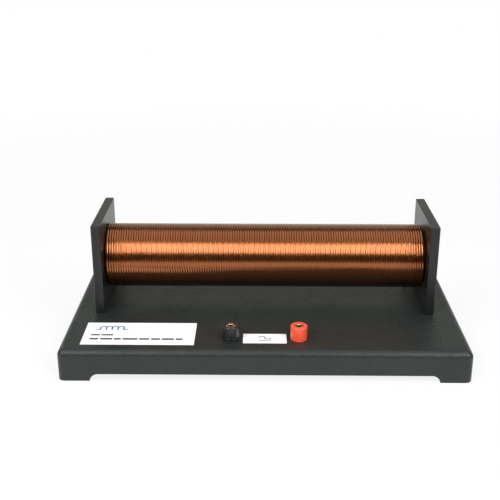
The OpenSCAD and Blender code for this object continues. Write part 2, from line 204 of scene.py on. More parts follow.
def turned(profile, segments=64):
    """Solid turned about the upright axis, from a profile of (radius, height) points."""
    bm = bmesh.new()
    verts = [bm.verts.new((radius, 0, height)) for radius, height in profile]
    edges = [bm.edges.new(pair) for pair in zip(verts, verts[1:])]
    if profile[0][0] or profile[-1][0]:
        edges.append(bm.edges.new((verts[-1], verts[0])))
    bmesh.ops.spin(
        bm, geom=verts + edges, cent=(0, 0, 0), axis=(0, 0, 1),
        angle=math.tau, steps=segments, use_merge=True,
    )
    bmesh.ops.remove_doubles(bm, verts=bm.verts, dist=1e-7)
    bmesh.ops.dissolve_degenerate(bm, edges=bm.edges, dist=1e-7)
    bmesh.ops.recalc_face_normals(bm, faces=bm.faces)
    return bm


def cylinder(radius, low, high, segments=48):
    """Upright cylinder on the axis, between two heights."""
    bm = bmesh.new()
    bmesh.ops.create_cone(
        bm, cap_ends=True, segments=segments, radius1=radius, radius2=radius, depth=high - low
    )
    bmesh.ops.translate(bm, vec=(0, 0, (low + high) / 2), verts=bm.verts)
    return bm


def moved(bm, place):
    """The shape, moved to a place."""
    bmesh.ops.translate(bm, vec=place, verts=bm.verts)
    return bm


def along_x(bm):
    """The shape with its upright axis laid along X."""
    bmesh.ops.rotate(bm, cent=(0, 0, 0), matrix=Matrix.Rotation(math.pi / 2, 3, "Y"), verts=bm.verts)
    return bm


def along_y(bm):
    """The shape with its upright axis laid along Y."""
    bmesh.ops.rotate(bm, cent=(0, 0, 0), matrix=Matrix.Rotation(-math.pi / 2, 3, "X"), verts=bm.verts)
    return bm


def joined(parts):
    """Several shapes in one mesh."""
    whole = bmesh.new()
    for part in parts:
        mesh = bpy.data.meshes.new("part")
        part.to_mesh(mesh)
        part.free()
        whole.from_mesh(mesh)
        bpy.data.meshes.remove(mesh)
    return whole


def object_of(name, bm):
    """Object that holds a shape."""
    mesh = bpy.data.meshes.new(name)
    bm.to_mesh(mesh)
    bm.free()
    obj = bpy.data.objects.new(name, mesh)
    bpy.context.scene.collection.objects.link(obj)
    return obj


def bake(obj):
    """Applies an object's modifiers to its mesh."""
    depsgraph = bpy.context.evaluated_depsgraph_get()
    mesh = bpy.data.meshes.new_from_object(obj.evaluated_get(depsgraph))
    obj.modifiers.clear()
    obj.data = mesh


def carve(obj, shapes, operation="DIFFERENCE"):
    """Cuts shapes out of an object, or joins them to it."""
    for shape in shapes:
        tool = object_of("carving_shape", shape)
        step = obj.modifiers.new("carve", "BOOLEAN")
        step.operation = operation
        step.solver = "EXACT"
        step.object = tool
        bake(obj)
        bpy.data.objects.remove(tool)


def drop_slivers(obj):
    """Merges points that lie together, and with them the faces without area."""
    bm = bmesh.new()
    bm.from_mesh(obj.data)
    bmesh.ops.remove_doubles(bm, verts=bm.verts, dist=SLIVER)
    bmesh.ops.dissolve_degenerate(bm, edges=bm.edges, dist=SLIVER)
    bm.to_mesh(obj.data)
    bm.free()


def break_edges(obj, width):
    """Takes the sharpness off an object's hard edges."""
    step = obj.modifiers.new("edges", "BEVEL")
    step.limit_method = "ANGLE"
    step.angle_limit = math.radians(60)
    step.width = width
    step.segments = 2
    bake(obj)
    drop_slivers(obj)


def dress(obj, material, stands_for, body="root", smooth=35):
    """Gives an object its finish, its body and the solids that it stands for."""
    obj.data.materials.clear()
    obj.data.materials.append(material)
    obj.data.shade_smooth()
    obj.data.set_sharp_from_angle(angle=math.radians(smooth))
    flat_first = obj.modifiers.new("even_normals", "WEIGHTED_NORMAL")
    flat_first.keep_sharp = True
    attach(obj, body)
    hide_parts(*stands_for)


def helix(name, section, pitch, turns, steps):
    """Section of (radius, height) points wound about the upright axis, one turn repeated."""
    bm = bmesh.new()
    verts = [bm.verts.new((radius, 0, height)) for radius, height in section]
    edges = [bm.edges.new(pair) for pair in zip(verts, verts[1:] + verts[:1])]
    bmesh.ops.spin(
        bm, geom=verts + edges, cent=(0, 0, 0), axis=(0, 0, 1), dvec=(0, 0, pitch / steps),
        angle=math.tau, steps=steps,
    )
    obj = object_of(name, bm)
    repeat = obj.modifiers.new("turns", "ARRAY")
    repeat.count = turns
    repeat.use_relative_offset = False
    repeat.use_constant_offset = True
    repeat.constant_offset_displace = (0, 0, pitch)
    repeat.use_merge_vertices = True
    repeat.merge_threshold = 1e-6
    bake(obj)
    wound = bmesh.new()
    wound.from_mesh(obj.data)
    bpy.data.objects.remove(obj)
    bmesh.ops.holes_fill(wound, edges=[e for e in wound.edges if e.is_boundary], sides=len(section))
    bmesh.ops.recalc_face_normals(wound, faces=wound.faces)
    return wound


def circle_section(radius, at, sides):
    """Round section of a wire, centred at a (radius, height) place."""
    turn = math.tau / sides
    return [
        (at[0] + radius * math.cos(i * turn), at[1] + radius * math.sin(i * turn)) for i in range(sides)
    ]


def bedded_section(top, half_width, crown, depth, steps):
    """Section of a wire bedded in varnish: a low arched crown, its top at a radius, on a tapered root."""
    arch = (half_width ** 2 + crown ** 2) / (2 * crown)
    reach = math.asin(half_width / arch)
    tilts = [reach * (2 * i / steps - 1) for i in range(steps + 1)]
    points = [(top - arch + arch * math.cos(tilt), arch * math.sin(tilt)) for tilt in tilts]
    return points + [(top - depth, half_width / 2), (top - depth, -half_width / 2)]


# Finishes

class Finish:
    """A node material in the making, patterned on the piece's own coordinates."""

    def __init__(self, name, shader_values):
        self.material = bpy.data.materials.new(name)
        self.material.use_nodes = True
        self.tree = self.material.node_tree
        self.shader = self.tree.nodes["Principled BSDF"]
        for socket, value in shader_values.items():
            self.shader.inputs[socket].default_value = value
        self.place = self.add("ShaderNodeTexCoord").outputs["Object"]

    def add(self, kind, inputs=None, **settings):
        """New node with its settings, and inputs that are values or other nodes' outputs."""
        node = self.tree.nodes.new(kind)
        for key, value in settings.items():
            setattr(node, key, value)
        for key, value in (inputs or {}).items():
            if isinstance(value, bpy.types.NodeSocket):
                self.tree.links.new(value, node.inputs[key])
            else:
                node.inputs[key].default_value = value
        return node

    def grain(self, size, stretch=(1, 1, 1), detail=3):
        """Noise of the given grain size, drawn out along the axes."""
        scale = [1 / (size * s) for s in stretch]
        place = self.add("ShaderNodeMapping", {"Vector": self.place, "Scale": scale})
        noise = self.add(
            "ShaderNodeTexNoise", {"Vector": place.outputs[0], "Scale": 1, "Detail": detail}
        )
        return noise.outputs[0]

    def level(self, pattern, low, high):
        """Pattern's middle range, as a number from low to high."""
        spread = self.add(
            "ShaderNodeMapRange",
            {"Value": pattern, "From Min": 0.3, "From Max": 0.7, "To Min": low, "To Max": high},
        )
        return spread.outputs[0]

    def colour(self, pattern, dark, light):
        """Base colour that follows a pattern."""
        ramp = self.add("ShaderNodeValToRGB", {"Fac": pattern})
        ramp.color_ramp.elements[0].position = 0.3
        ramp.color_ramp.elements[0].color = (*dark, 1)
        ramp.color_ramp.elements[1].position = 0.7
        ramp.color_ramp.elements[1].color = (*light, 1)
        self.tree.links.new(ramp.outputs["Color"], self.shader.inputs["Base Color"])

    def roughness(self, pattern, low, high):
        """Roughness that follows a pattern."""
        self.tree.links.new(self.level(pattern, low, high), self.shader.inputs["Roughness"])

    def relief(self, pattern, depth):
        """Fine relief that follows a pattern, on top of any relief so far."""
        bump = self.add("ShaderNodeBump", {"Height": pattern, "Distance": depth, "Strength": 1.0})
        so_far = self.shader.inputs["Normal"].links
        if so_far:
            self.tree.links.new(so_far[0].from_socket, bump.inputs["Normal"])
        self.tree.links.new(bump.outputs["Normal"], self.shader.inputs["Normal"])


def moulded_plastic(name, dark, light, smooth, rough, grain, depth):
    """Satin moulding with a fine eroded grain and a faint cloudiness."""
    finish = Finish(name, {"IOR": 1.5})
    finish.colour(finish.grain(18 * MM), dark, light)
    finish.roughness(finish.grain(6 * MM), smooth, rough)
    finish.relief(finish.grain(grain, detail=2), depth)
    finish.relief(finish.grain(2.5 * grain, detail=1), depth / 2)
    return finish.material


def sheet_plastic():
    """Satin plastic sheet with hardly visible upright tool marks."""
    finish = Finish("sheet_plastic", {"IOR": 1.5})
    finish.colour(finish.grain(9 * MM), (0.007, 0.0092, 0.008), (0.011, 0.0132, 0.012))
    finish.roughness(finish.grain(2.5 * MM, (1, 1, 6)), 0.29, 0.37)
    finish.relief(finish.grain(0.5 * MM, (1, 1, 14)), 0.009 * MM)
    finish.relief(finish.grain(0.35 * MM), 0.006 * MM)
    return finish.material


def enamelled_copper():
    """Bright copper under a clear amber enamel, a little different from turn to turn."""
    finish = Finish("enamelled_copper", {
        "Metallic": 1.0, "Coat Weight": 0.65, "Coat Roughness": 0.08, "Coat IOR": 1.5,
    })
    turn_shade = finish.grain(1.7 * MM, (1, 30, 30), detail=1)
    finish.colour(turn_shade, (0.305, 0.086, 0.0185), (0.355, 0.102, 0.023))
    finish.roughness(finish.grain(3 * MM), 0.19, 0.24)
    return finish.material


def wound_laminate():
    """Brown tube of resin-bonded paper with the spiral of its plies."""
    finish = Finish("wound_laminate", {"IOR": 1.5})
    finish.colour(finish.grain(2.2 * MM, (6, 1, 1)), (0.10, 0.052, 0.024), (0.17, 0.092, 0.044))
    finish.roughness(finish.grain(1.5 * MM, (5, 1, 1)), 0.42, 0.58)
    finish.relief(finish.grain(0.4 * MM, (8, 1, 1)), 0.03 * MM)
    return finish.material


def label_film():
    """White satin film with hardly any tooth."""
    finish = Finish("label_film", {"IOR": 1.48})
    finish.colour(finish.grain(12 * MM), (0.90, 0.91, 0.905), (0.93, 0.935, 0.93))
    finish.roughness(finish.grain(3 * MM), 0.38, 0.5)
    finish.relief(finish.grain(0.25 * MM), 0.006 * MM)
    return finish.material


def print_ink(name, dark, light):
    """Flat print with a faint mottle."""
    finish = Finish(name, {"IOR": 1.45})
    finish.colour(finish.grain(0.5 * MM), dark, light)
    finish.roughness(finish.grain(1 * MM), 0.45, 0.6)
    return finish.material


def turned_metal(name, dark, light, smooth=0.18, rough=0.3):
    """Metal with fine marks round the axis that it was turned about."""
    finish = Finish(name, {"Metallic": 1.0})
    finish.colour(finish.grain(1.2 * MM, (1, 1, 0.2)), dark, light)
    finish.roughness(finish.grain(0.7 * MM, (1, 1, 0.15)), smooth, rough)
    finish.relief(finish.grain(0.3 * MM, (3, 3, 0.12)), 0.008 * MM)
    return finish.material


def soft_rubber():
    """Matt black rubber with a dusty bloom."""
    finish = Finish("soft_rubber", {"IOR": 1.5})
    finish.colour(finish.grain(2 * MM), (0.012, 0.012, 0.012), (0.022, 0.021, 0.021))
    finish.roughness(finish.grain(1 * MM), 0.62, 0.8)
    finish.relief(finish.grain(0.2 * MM), 0.02 * MM)
    return finish.material


tray_plastic = moulded_plastic(
    "tray_plastic", (0.0115, 0.0168, 0.0158), (0.0155, 0.0212, 0.0200), 0.38, 0.46, 1.2 * MM, 0.26 * MM
)
plate_plastic = sheet_plastic()
copper = enamelled_copper()
laminate = wound_laminate()
film = label_film()
blue_ink = print_ink("blue_ink", (0.02, 0.10, 0.28), (0.035, 0.14, 0.34))
dark_ink = print_ink("dark_ink", (0.02, 0.02, 0.022), (0.03, 0.03, 0.033))
black_plastic = moulded_plastic(
    "black_plastic", (0.013, 0.016, 0.0155), (0.018, 0.022, 0.0215), 0.28, 0.36, 0.3 * MM, 0.01 * MM
)
red_plastic = moulded_plastic(
    "red_plastic", (0.91, 0.096, 0.0435), (0.95, 0.115, 0.0535), 0.24, 0.32, 0.3 * MM, 0.01 * MM
)
nickel = turned_metal("nickel_plate", (0.60, 0.57, 0.50), (0.72, 0.69, 0.62))
brass = turned_metal("turned_brass", (0.60, 0.42, 0.17), (0.72, 0.53, 0.24))
zinc = turned_metal("zinc_plate", (0.50, 0.51, 0.53), (0.62, 0.63, 0.65), 0.25, 0.4)
rubber = soft_rubber()


# Tray

def foot_gap_shape(length, across):
    """Space between two feet, along X, with its upper ends rounded."""
    half = length / 2 - FOOT_LENGTH
    bm = block((-half, -across, -2 * FOOT_GAP_ROUND), (half, across, FOOT_GAP))
    upper = [e for e in bm.edges if all(v.co.z > 0 for v in e.verts)]
    ends = [e for e in upper if e.verts[0].co.x == e.verts[1].co.x]
    round_edges(bm, ends, FOOT_GAP_ROUND, CORNER_STEPS)
    return bm


def quarter_turn(bm):
    """The shape, turned from X to Y."""
    bmesh.ops.rotate(bm, cent=(0, 0, 0), matrix=Matrix.Rotation(math.pi / 2, 3, "Z"), verts=bm.verts)
    return bm


def post_places():
    """Centres of the black and the red terminal, on the floor."""
    places = {}
    for colour in ("black", "red"):
        low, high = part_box(f"{colour}_stud")
        places[colour] = Vector(((low.x + high.x) / 2, (low.y + high.y) / 2, 0))
    return places


def lead_holes():
    """Centres of the left and the right lead hole, on the floor."""
    low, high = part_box("lead_grommets")
    radius = (high.y - low.y) / 2
    y = (low.y + high.y) / 2
    return {"left": Vector((low.x + radius, y, 0)), "right": Vector((high.x - radius, y, 0))}


def make_tray():
    """Moulded tray: a rounded shell on four corner feet."""
    bm = block(tray_low, tray_high)
    above_floor = [e for e in bm.edges if max(v.co.z for v in e.verts) > tray_low.z]
    round_edges(bm, above_floor, TRAY_ROUND, CORNER_STEPS)
    bm.normal_update()
    underside = [f for f in bm.faces if f.normal.z < -0.9]
    bmesh.ops.delete(bm, geom=underside, context="FACES_ONLY")
    tray = object_of("tray_shell", bm)
    shell = tray.modifiers.new("wall", "SOLIDIFY")
    shell.thickness = WALL
    shell.offset = -1
    shell.use_even_offset = True
    bake(tray)
    size = tray_high - tray_low
    carve(tray, [foot_gap_shape(size.x, size.y), quarter_turn(foot_gap_shape(size.y, size.x))])
    holes = [(POST_HOLE_RADIUS, place) for place in post_places().values()]
    holes += [(LEAD_HOLE_RADIUS, place) for place in lead_holes().values()]
    holes += [(SCREW_HOLE_RADIUS, place) for place in screw_places]
    carve(tray, [joined([moved(cylinder(radius, 0, 2 * tray_top), place) for radius, place in holes])])
    break_edges(tray, TRAY_EDGE)
    dress(tray, tray_plastic, ["base_tray"])


def make_ribs():
    """Ribs and screw bosses under the tray's top."""
    inside_y = tray_high.y - WALL + SEAM
    top = tray_under + SEAM
    half = RIB_THICKNESS / 2
    long_rib = block((-plate_middle_x, -half, boss_bottom), (plate_middle_x, half, top))
    ribs = object_of("tray_ribs", long_rib)
    cross = [
        block((x - half, -inside_y, boss_bottom), (x + half, inside_y, top))
        for x in (-plate_middle_x, plate_middle_x)
    ]
    bosses = [moved(cylinder(BOSS_RADIUS, boss_bottom, top), place) for place in screw_places]
    carve(ribs, cross + bosses, "UNION")
    low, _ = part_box("left_lead")
    lead_height = low.z + LEAD_RADIUS
    lane = lead_holes()["right"].x - LEAD_STEP
    lead_ways = [
        moved(along_y(cylinder(LEAD_WAY_RADIUS, -3 * half, 3 * half, 24)), (x, 0, lead_height))
        for x in (-lane, lane)
    ]
    screw_ways = [moved(cylinder(SCREW_HOLE_RADIUS, 0, tray_top), place) for place in screw_places]
    carve(ribs, [joined(lead_ways + screw_ways)])
    break_edges(ribs, RIB_EDGE)
    dress(ribs, tray_plastic, ["base_tray"])


# End plates

def make_end_plate(side):
    """End plate with the former's seat and the way through."""
    low, high = plate_places[side]
    inner_face = low.x if side == "right" else high.x
    bm = block(low, high)
    round_edges(bm, bm.edges[:], PLATE_BEVEL, 3)
    plate = object_of(f"{side}_plate", bm)
    bore = former_radius - FORMER_WALL + PLATE_HOLE_STEP
    seat = former_radius + SEAT_PLAY
    past = 2 * (high.x - low.x)
    way = along_x(turned([
        (0, -past), (seat, -past), (seat, SEAT_DEPTH), (bore, SEAT_DEPTH), (bore, past), (0, past),
    ], LARGE_ROUND))
    if side == "left":
        bmesh.ops.rotate(way, cent=(0, 0, 0), matrix=Matrix.Rotation(math.pi, 3, "Z"), verts=way.verts)
    carve(plate, [moved(way, (inner_face, coil_axis.y, coil_axis.z))])
    break_edges(plate, PLATE_HOLE_EDGE)
    dress(plate, plate_plastic, [f"{side}_end_plate"])


def make_plate_screws():
    """Pan-head screws with a cross recess, and their washers, driven from below."""
    washer_low, washer_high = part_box("plate_washers")
    screw_low, screw_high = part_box("plate_screws")
    washer_radius = (washer_high.y - washer_low.y - SCREW_PITCH) / 2
    washer_bore = SCREW_RADIUS + WASHER_PLAY
    for number, place in enumerate(screw_places, start=1):
        head = turned([
            (0, screw_low.z), (0.6 * SCREW_HEAD_RADIUS, screw_low.z),
            (0.9 * SCREW_HEAD_RADIUS, screw_low.z + SCREW_HEAD_CROWN),
            (SCREW_HEAD_RADIUS, washer_low.z - SCREW_HEAD_RIM),
            (SCREW_HEAD_RADIUS, washer_low.z), (SCREW_RADIUS, washer_low.z),
            (SCREW_RADIUS, screw_high.z - SCREW_TIP), (0, screw_high.z),
        ], SMALL_ROUND)
        screw = object_of(f"plate_screw_{number}", moved(head, place))
        for half_x, half_y in ((RECESS_REACH, RECESS_HALF_WIDTH), (RECESS_HALF_WIDTH, RECESS_REACH)):
            slot = block(
                (place.x - half_x, place.y - half_y, screw_low.z - 1 * MM),
                (place.x + half_x, place.y + half_y, screw_low.z + RECESS_DEPTH),
            )
            carve(screw, [slot])
        dress(screw, zinc, ["plate_screws"])
        ring = turned([
            (washer_bore, washer_low.z), (washer_radius, washer_low.z),
            (washer_radius, washer_high.z), (washer_bore, washer_high.z),
        ], SMALL_ROUND)
        soften(ring, WASHER_EDGE)
        washer = object_of(f"plate_washer_{number}", moved(ring, place))
        dress(washer, zinc, ["plate_washers"])


# Coil

def on_coil_axis(bm, start):
    """The shape, laid from its upright axis to the coil's, with its foot at the given X."""
    return moved(along_x(bm), (start, coil_axis.y, coil_axis.z))


def make_former():
    """Tube that the wire is wound on."""
    length = former_high.x - former_low.x
    inner = former_radius - FORMER_WALL
    bm = turned([(inner, 0), (former_radius, 0), (former_radius, length), (inner, length)], LARGE_ROUND)
    soften(bm, FORMER_EDGE)
    former = object_of("former_tube", on_coil_axis(bm, former_low.x))
    dress(former, laminate, ["coil_former"])


def wander(turn):
    """How far a turn lies from its even place, along the coil."""
    slow = 0.012 * MM * math.sin(2.3 * turn)
    quick = 0.008 * MM * math.sin(5.1 * turn + 1.0)
    return slow + quick


def lift(turn):
    """How far a turn stands above its even height. The first stretch rises from the layer below."""
    rise = min(turn / RISE_TURNS, 1)
    from_below = 2 * LEAD_RADIUS * (1 - rise * rise * (3 - 2 * rise))
    return 0.02 * MM * math.sin(3.7 * turn) - from_below


def first_turn_x():
    """Where the outer layer starts, beside the left end plate."""
    return plate_places["left"][1].x + WIRE_RADIUS + PLATE_GAP


def end_lead_x():
    """Where the outer layer ends and its lead goes on, along X."""
    return plate_places["right"][0].x - WIRE_RADIUS - END_GAP


def make_outer_layer():
    """Outer layer, turn by turn, from behind at the left to the end lead below at the right."""
    last_turn = OUTER_TURNS - FIRST_ANGLE / math.tau
    pitch = (end_lead_x() - first_turn_x()) / last_turn
    top = wire_path_radius + LEAD_RADIUS
    section = bedded_section(top, WIRE_HALF_WIDTH, WIRE_CROWN, 2 * WIRE_RADIUS, CROWN_STEPS)
    bm = helix("outer_layer", section, pitch, OUTER_TURNS, STEPS_PER_TURN)
    past_end = []
    for vert in bm.verts:
        part_turn = math.atan2(vert.co.y, vert.co.x) / math.tau
        turn = part_turn + round(vert.co.z / pitch - part_turn)
        if turn > last_turn + 0.5 / STEPS_PER_TURN:
            past_end.append(vert)
        away = Vector((vert.co.x, vert.co.y, 0)).normalized()
        vert.co += away * lift(max(turn, 0))
        vert.co.z += wander(turn)
    bmesh.ops.delete(bm, geom=past_end, context="VERTS")
    bmesh.ops.holes_fill(bm, edges=[e for e in bm.edges if e.is_boundary], sides=len(section))
    bmesh.ops.rotate(bm, cent=(0, 0, 0), matrix=Matrix.Rotation(FIRST_ANGLE, 3, "Z"), verts=bm.verts)
    layer = object_of("outer_layer", on_coil_axis(bm, first_turn_x()))
    dress(layer, copper, ["outer_winding"], smooth=50)


def make_inner_layers():
    """Inner layers: a core with the last turns of both layers at its ends."""
    run = winding_high.x - winding_low.x
    pitch = 2 * WIRE_RADIUS + END_TURN_GAP
    tucked = run - 2 * END_TURNS * pitch
    under = wire_path_radius - LEAD_RADIUS - LAYER_GAP
    core = turned([(former_radius, 0), (under, 0), (under, tucked), (former_radius, tucked)])
    parts = [on_coil_axis(core, -tucked / 2)]
    for layer in range(2):
        path = former_radius + LEAD_RADIUS * (1 + 2 * layer)
        section = circle_section(LEAD_RADIUS - END_TURN_GAP / 2, (path, 0), WIRE_SIDES)
        for start in (winding_low.x + WIRE_RADIUS, winding_high.x - WIRE_RADIUS - END_TURNS * pitch):
            wire = helix("layer_end", section, pitch, END_TURNS, STEPS_PER_TURN)
            parts.append(on_coil_axis(wire, start))
    layers = object_of("inner_layers", joined(parts))
    dress(layers, copper, ["inner_winding"], smooth=80)


# Leads

def rounded_route(corners, radius, steps=8):
    """Route with an arc at each inner corner."""
    route = [corners[0]]
    for before, corner, after in zip(corners, corners[1:], corners[2:]):
        back = (before - corner).normalized()
        ahead = (after - corner).normalized()
        half = back.angle(ahead) / 2
        room = 0.49 * min((before - corner).length, (after - corner).length)
        reach = min(radius / math.tan(half), room)
        centre = corner + (back + ahead).normalized() * reach / math.cos(half)
        start = corner + back * reach - centre
        end = corner + ahead * reach - centre
        route += [centre + start.slerp(end, i / steps) * start.length for i in range(steps + 1)]
    return route + [corners[-1]]


def make_wire(name, route):
    """Round wire along a route."""
    curve = bpy.data.curves.new(name, "CURVE")
    curve.dimensions = "3D"
    curve.bevel_depth = LEAD_RADIUS
    curve.bevel_resolution = 4
    curve.use_fill_caps = True
    spline = curve.splines.new("POLY")
    spline.points.add(len(route) - 1)
    for point, place in zip(spline.points, route):
        point.co = (*place, 1)
    drawn = bpy.data.objects.new("drawn_wire", curve)
    bpy.context.scene.collection.objects.link(drawn)
    depsgraph = bpy.context.evaluated_depsgraph_get()
    mesh = bpy.data.meshes.new_from_object(drawn.evaluated_get(depsgraph))
    wire = bpy.data.objects.new(f"{name}_wire", mesh)
    bpy.context.scene.collection.objects.link(wire)
    bpy.data.objects.remove(drawn)
    dress(wire, copper, [name], smooth=80)


def under_route(hole, post, height):
    """Run of a lead below the tray, from its hole to the eye of its solder tag."""
    side = math.copysign(1, hole.x)
    lane = hole.x - side * LEAD_STEP
    eye_y = post.y + TAG_LENGTH
    return [
        Vector((hole.x, hole.y, height)),
        Vector((lane, hole.y, height)),
        Vector((lane, post.y + 2 * TAG_LENGTH, height)),
        Vector((post.x, eye_y, height)),
        Vector((post.x, eye_y, tray_under - TAG_GAP)),
    ]


def make_leads():
    """Start and end of the wire, down through the tray to the terminals."""
    posts = post_places()
    holes = lead_holes()
    lead_low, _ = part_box("left_lead")
    height = lead_low.z + LEAD_RADIUS
    start_x = lead_low.x + LEAD_RADIUS
    start_radius = former_radius + LEAD_RADIUS + LEAD_ARC_GAP
    behind = coil_axis.y + start_radius
    middle = Vector((start_x, coil_axis.y, coil_axis.z))
    arc = [middle + start_radius * Vector((0, math.cos(a), math.sin(a))) for a in LEAD_ARC]
    level = Vector((start_x, behind, coil_axis.z))
    tail = Vector((start_x, behind, coil_axis.z - (wire_path_radius - LEAD_RADIUS) / 2))
    over_hole = Vector((holes["left"].x, holes["left"].y, tray_top + 2 * LEAD_BEND))
    corners = [level, tail, over_hole] + under_route(holes["left"], posts["black"], height)
    make_wire("left_lead", arc + rounded_route(corners, LEAD_BEND))
    end = Vector((end_lead_x(), coil_axis.y, coil_axis.z - wire_path_radius))
    onward = end + Vector((0, 2 * LEAD_RADIUS + LEAD_BEND, 0))
    over_hole = Vector((holes["right"].x, holes["right"].y, end.z))
    corners = [end, onward, over_hole] + under_route(holes["right"], posts["red"], height)
    make_wire("right_lead", rounded_route(corners, LEAD_BEND))


def make_grommets():
    """Rubber bushes that line the lead holes."""
    low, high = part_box("lead_grommets")
    flange = (high.y - low.y) / 2
    for side, place in lead_holes().items():
        bm = turned([
            (GROMMET_BORE_RADIUS, low.z), (flange, low.z), (flange, tray_under),
            (GROMMET_NECK_RADIUS, tray_under), (GROMMET_NECK_RADIUS, tray_top),
            (flange, tray_top), (flange, high.z), (GROMMET_BORE_RADIUS, high.z),
        ], SMALL_ROUND)
        soften(bm, GROMMET_EDGE, 3)
        bush = object_of(f"{side}_grommet", moved(bm, place))
        dress(bush, rubber, ["lead_grommets"])


# Labels

def make_label(node):
    """Film label with rounded corners."""
    low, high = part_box(node)
    bm = block(low, high)
    upright = [e for e in bm.edges if abs(e.verts[0].co.z - e.verts[1].co.z) > 0]
    round_edges(bm, upright, LABEL_CORNER, 4)
    dress(object_of(f"{node}_film", bm), film, [node])


def printed_arc(centre, radius, width, start, sweep):
    """Printed arc round a centre."""
    bm = bmesh.new()
    ends = [
        bm.verts.new((centre[0] + r * math.cos(start), centre[1] + r * math.sin(start), 0))
        for r in (radius - width / 2, radius + width / 2)
    ]
    edge = bm.edges.new(ends)
    bmesh.ops.spin(
        bm, geom=ends + [edge], cent=(*centre, 0), axis=(0, 0, 1), angle=sweep, steps=ARC_STEPS
    )
    thick = bmesh.ops.extrude_face_region(bm, geom=bm.faces[:])
    raised = [g for g in thick["geom"] if isinstance(g, bmesh.types.BMVert)]
    bmesh.ops.translate(bm, vec=(0, 0, PRINT_HEIGHT), verts=raised)
    bmesh.ops.recalc_face_normals(bm, faces=bm.faces)
    return bm


def printed_bar(x0, x1, y, width):
    """Printed bar from one X to another."""
    return block((x0, y - width / 2, 0), (x1, y + width / 2, PRINT_HEIGHT))


def printed_line(x0, x1, y, width):
    """Line of print shown by bars of uneven length."""
    lengths = (6.5 * MM, 9 * MM, 5 * MM, 11 * MM, 7.5 * MM)
    gap = 1.3 * MM
    shortest = 3 * MM
    bars = []
    while x0 < x1 - shortest:
        end = min(x0 + lengths[len(bars) % len(lengths)], x1)
        bars.append(printed_bar(x0, end, y, width))
        x0 = end + gap
    return bars


def printed_leg(x, y0, y1, width):
    """Printed bar from one Y to another."""
    return block((x - width / 2, y0, 0), (x + width / 2, y1, PRINT_HEIGHT))


def print_on(node, name, strokes, ink):
    """Print of several strokes, united where they meet, on a label's face."""
    for vert in [v for stroke in strokes for v in stroke.verts]:
        vert.co = [round(c / PRINT_GRID) * PRINT_GRID for c in vert.co]
    sign = object_of(name, strokes[0])
    carve(sign, strokes[1:], "UNION")
    _, label_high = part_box(node)
    sign.data.transform(Matrix.Translation((0, 0, label_high.z)))
    dress(sign, ink, [node])


def make_name_print():
    """Coil sign and two lines of print."""
    low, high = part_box("name_label")
    line = 1.1 * MM
    loop = 2.2 * MM
    leg = 3.5 * MM
    tail = 3.5 * MM
    arch_y = high.y - 8.5 * MM
    foot_y = arch_y - leg
    first = low.x + 11 * MM
    last = first + 2 * COIL_SIGN_LOOPS * loop
    sign = [
        printed_arc((first + (2 * i + 1) * loop, arch_y), loop, line, 0, math.pi)
        for i in range(COIL_SIGN_LOOPS)
    ]
    sign += [
        printed_leg(first + 2 * i * loop, foot_y, arch_y, line) for i in range(COIL_SIGN_LOOPS + 1)
    ]
    sign.append(printed_bar(first - tail, first, foot_y + line / 2, line))
    sign.append(printed_bar(last, last + tail, foot_y + line / 2, line))
    print_on("name_label", "name_label_sign", sign, blue_ink)
    start = low.x + PRINT_MARGIN
    lines = printed_line(start, low.x + 22 * MM, low.y + 15.5 * MM, 2.1 * MM)
    lines += printed_line(start, high.x - 6 * MM, low.y + 9 * MM, 2.4 * MM)
    print_on("name_label", "name_label_lines", lines, dark_ink)


def make_rating_print():
    """Sign for direct and alternating current."""
    low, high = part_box("rating_label")
    middle = (low + high) / 2
    wave = 2.2 * MM
    line = 0.8 * MM
    wave_y = middle.y + 1.2 * MM
    parts = [
        printed_arc((middle.x - wave, wave_y), wave, line, 0, math.pi),
        printed_arc((middle.x + wave, wave_y), wave, line, math.pi, math.pi),
        printed_bar(middle.x - 2 * wave, middle.x + 2 * wave, middle.y - 3.4 * MM, line),
    ]
    print_on("rating_label", "rating_label_sign", parts, dark_ink)


# Terminals

def make_cap(colour, place, plastic):
    """Screw cap round its threaded insert."""
    low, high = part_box(f"{colour}_cap")
    _, insert_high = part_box(f"{colour}_cap_insert")
    radius = (high.x - low.x) / 2
    insert_bore = STUD_RADIUS + INSERT_PLAY
    insert_r = STUD_RADIUS + INSERT_REACH
    shell_r = insert_r + INSERT_PLAY
    hole_r = STUD_RADIUS + CAP_HOLE_PLAY
    ceiling = insert_high.z + INSERT_PLAY
    bm = turned([
        (shell_r, low.z), (radius, low.z), (radius, high.z), (hole_r, high.z), (hole_r, ceiling),
        (shell_r, ceiling),
    ], POST_ROUND)
    top = [e for e in bm.edges if all(abs(v.co.z - high.z) < 1e-6 for v in e.verts)]
    top_rim = [e for e in top if all(math.hypot(v.co.x, v.co.y) > 0.9 * radius for v in e.verts)]
    round_edges(bm, top_rim, CAP_ROUND, 6)
    soften(bm, MOULDED_EDGE, 3)
    cap = object_of(f"{colour}_screw_cap", moved(bm, place))
    dress(cap, plastic, [f"{colour}_cap"], body=f"{colour}_cap")
    bm = turned([
        (insert_bore, low.z), (insert_r, low.z), (insert_r, insert_high.z), (insert_bore, insert_high.z),
    ])
    soften(bm, INSERT_EDGE)
    insert = object_of(f"{colour}_insert", moved(bm, place))
    dress(insert, brass, [f"{colour}_cap_insert"], body=f"{colour}_insert")


def thread(radius, low, high):
    """Thread from one height to another, round the upright axis."""
    root = radius - THREAD_DEPTH
    section = [
        (root, 0), (radius, 0.45 * THREAD_PITCH),
        (radius, 0.55 * THREAD_PITCH), (root, 0.98 * THREAD_PITCH),
    ]
    turns = max(1, round((high - low) / THREAD_PITCH) - 1)
    return moved(helix("thread", section, THREAD_PITCH, turns, 40), (0, 0, low))


